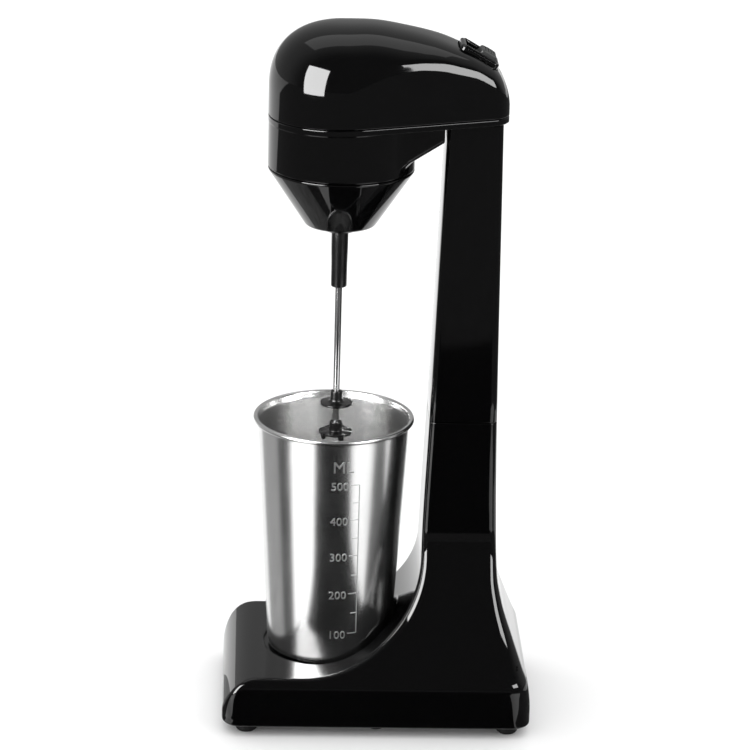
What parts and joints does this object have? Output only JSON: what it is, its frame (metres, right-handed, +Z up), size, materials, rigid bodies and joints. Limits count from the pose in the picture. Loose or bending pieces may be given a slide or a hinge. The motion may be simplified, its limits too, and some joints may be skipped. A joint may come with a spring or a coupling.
{
  "type": "milk frother",
  "caption": "Single-spindle milk frother with a weighted foot, tapering column, domed motor head with rear slide switch, plug-in whisk and tall steel cup.",
  "frame": {"origin": "on the table plane, under the middle of the overall length and width of the foot", "axes": "+Z up along the drive spindle, -Y towards the cup and the user, +Y towards the column, +X towards the side of the cup that carries the volume scale"},
  "size_m": [0.1218, 0.1744, 0.3991],
  "materials": {
    "gloss_black": "piano gloss",
    "satin_black": "satin",
    "grey_knob": "fine satin",
    "grey_moulding": "moulded",
    "rubber": "matte",
    "cup_steel": "fine brushed",
    "bright_steel": "ground and polished",
    "zinc": "zinc plated",
    "bronze": "sintered",
    "copper": "varnished wire",
    "magnet": "ground ceramic",
    "carbon": "pressed carbon",
    "board_green": "solder mask",
    "wire": "insulated"
  },
  "bodies": {
    "housing": {"lower_body": "gloss_black", "base_plate": "satin_black", "foot_front_right": "rubber", "foot_front_left": "rubber", "foot_rear_right": "rubber", "foot_rear_left": "rubber", "foot_middle_right": "rubber", "foot_middle_left": "rubber", "base_screw_1": "zinc", "base_screw_2": "zinc", "base_screw_3": "zinc", "base_screw_4": "zinc", "cord_gland": "rubber", "cord_clamp": "grey_moulding", "clamp_screw_1": "zinc", "clamp_screw_2": "zinc", "upper_column": "gloss_black", "column_screw_1": "zinc", "column_screw_2": "zinc", "column_wiring": "wire", "head_cover": "gloss_black", "motor_housing": "gloss_black", "cover_screw_1": "zinc", "cover_screw_2": "zinc", "nose_cone": "gloss_black", "nose_collar": "satin_black", "motor_bracket": "zinc", "motor_can": "zinc", "magnet_left": "magnet", "magnet_right": "magnet", "motor_end_cap": "grey_moulding", "brush_left": "carbon", "brush_right": "carbon", "lower_bush": "bronze", "upper_bush": "bronze", "motor_isolator": "rubber", "motor_screw_1": "zinc", "motor_screw_2": "zinc", "switch_bezel": "gloss_black", "switch_body": "grey_moulding", "rectifier_board": "board_green", "motor_leads": "wire"},
    "rotor": {"motor_shaft": "bright_steel", "armature_core": "zinc", "armature_windings": "copper", "commutator": "copper"},
    "agitator": {"agitator_sleeve": "satin_black", "agitator_rod": "bright_steel", "mixing_disc": "satin_black", "whisk_disc": "satin_black"},
    "cup": {"cup": "cup_steel"},
    "switch_knob": {"switch_slider": "grey_knob"}
  },
  "joints": [
    {"name": "rotor_spin", "type": "hinge", "parent": "housing", "child": "rotor", "pos_m": [0, -0.025, 0.3], "axis": [0, 0, 1], "continuous": true},
    {"name": "agitator_pull", "type": "slide", "parent": "rotor", "child": "agitator", "axis": [0, 0, -1], "range_m": [0, 0.025]},
    {"name": "cup_lift", "type": "slide", "parent": "housing", "child": "cup", "axis": [0, 0, 1], "range_m": [0, 0.095]},
    {"name": "switch_slide", "type": "slide", "parent": "housing", "child": "switch_knob", "axis": [0, -0.8746, 0.4848], "range_m": [0, 0.007]}
  ]
}
